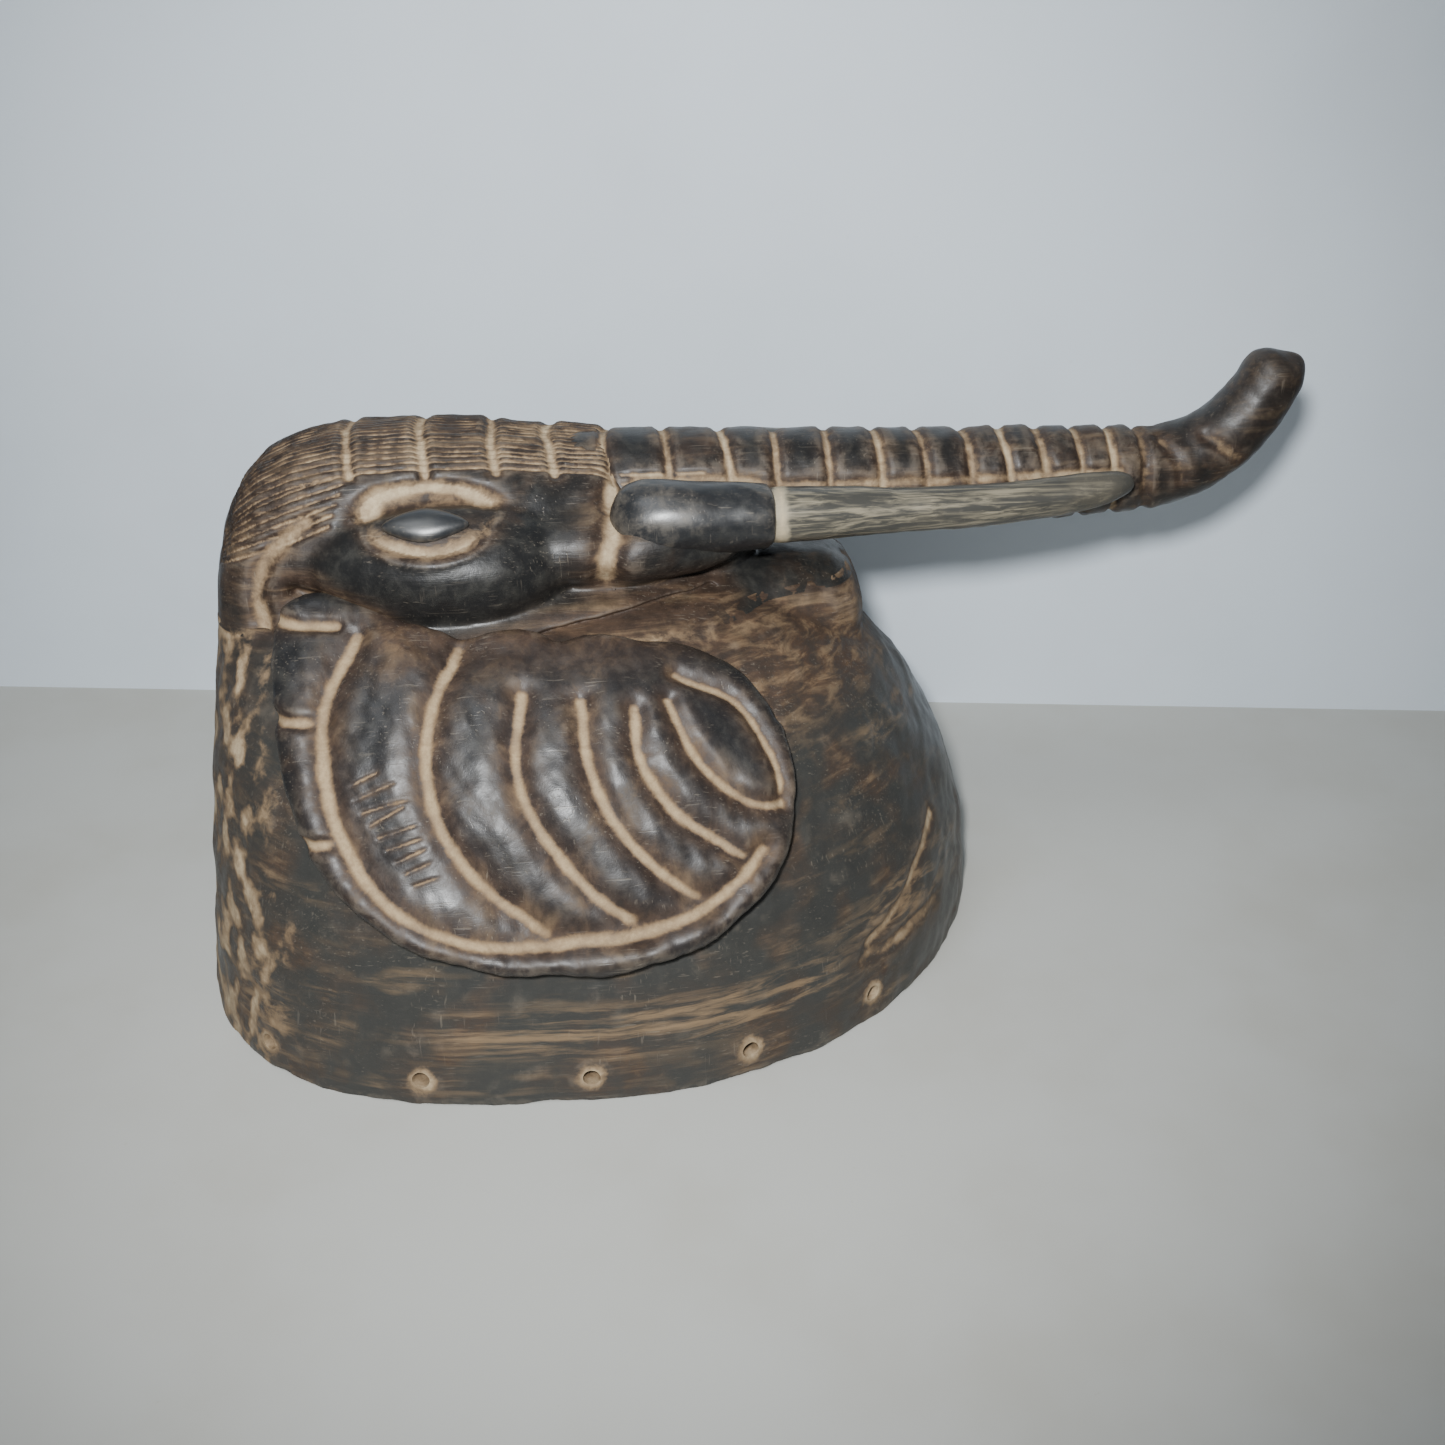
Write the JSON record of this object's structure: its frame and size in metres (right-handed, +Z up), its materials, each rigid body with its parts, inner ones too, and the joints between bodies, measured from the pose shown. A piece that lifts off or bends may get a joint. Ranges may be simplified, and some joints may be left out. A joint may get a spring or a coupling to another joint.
{
  "type": "carved elephant helmet mask",
  "caption": "Carved wooden helmet mask of an elephant's head: hollow dome with lacing holes at its rim, broad grooved ears, ringed upturned trunk and two tusks.",
  "frame": {"origin": "middle of the head opening, on the plane that the rim stands on", "axes": "+X along the trunk, +Z up, -Y the elephant's right side"},
  "size_m": [0.4717, 0.3112, 0.2428],
  "materials": {
    "blackened_wood": "satin, smoke-blackened, with pale clay left in the grooves",
    "brown_wood": "mottled brown-black, worn dry",
    "polished_wood": "black, rubbed to a shine",
    "clay_rubbed_wood": "matt, pale clay rubbed into the cut"
  },
  "bodies": {
    "root": {"helmet_shell": "brown_wood", "lacing_rim": "brown_wood", "skull": "blackened_wood", "lower_jaw": "brown_wood", "palate": "brown_wood", "trunk_ring_01": "blackened_wood", "trunk_ring_02": "blackened_wood", "trunk_ring_03": "blackened_wood", "trunk_ring_04": "blackened_wood", "trunk_ring_05": "blackened_wood", "trunk_ring_06": "blackened_wood", "trunk_ring_07": "blackened_wood", "trunk_ring_08": "blackened_wood", "trunk_ring_09": "blackened_wood", "trunk_ring_10": "blackened_wood", "trunk_ring_11": "blackened_wood", "trunk_ring_12": "blackened_wood", "trunk_upturn": "blackened_wood", "trunk_tip": "blackened_wood", "eyeball_right": "polished_wood", "eye_ring_right": "clay_rubbed_wood", "cheek_right": "polished_wood", "tusk_sleeve_right": "polished_wood", "tusk_right": "blackened_wood", "ear_field_right": "blackened_wood", "ear_rim_right": "blackened_wood", "eyeball_left": "polished_wood", "eye_ring_left": "clay_rubbed_wood", "cheek_left": "polished_wood", "tusk_sleeve_left": "polished_wood", "tusk_left": "blackened_wood", "ear_field_left": "blackened_wood", "ear_rim_left": "blackened_wood"}
  },
  "joints": []
}
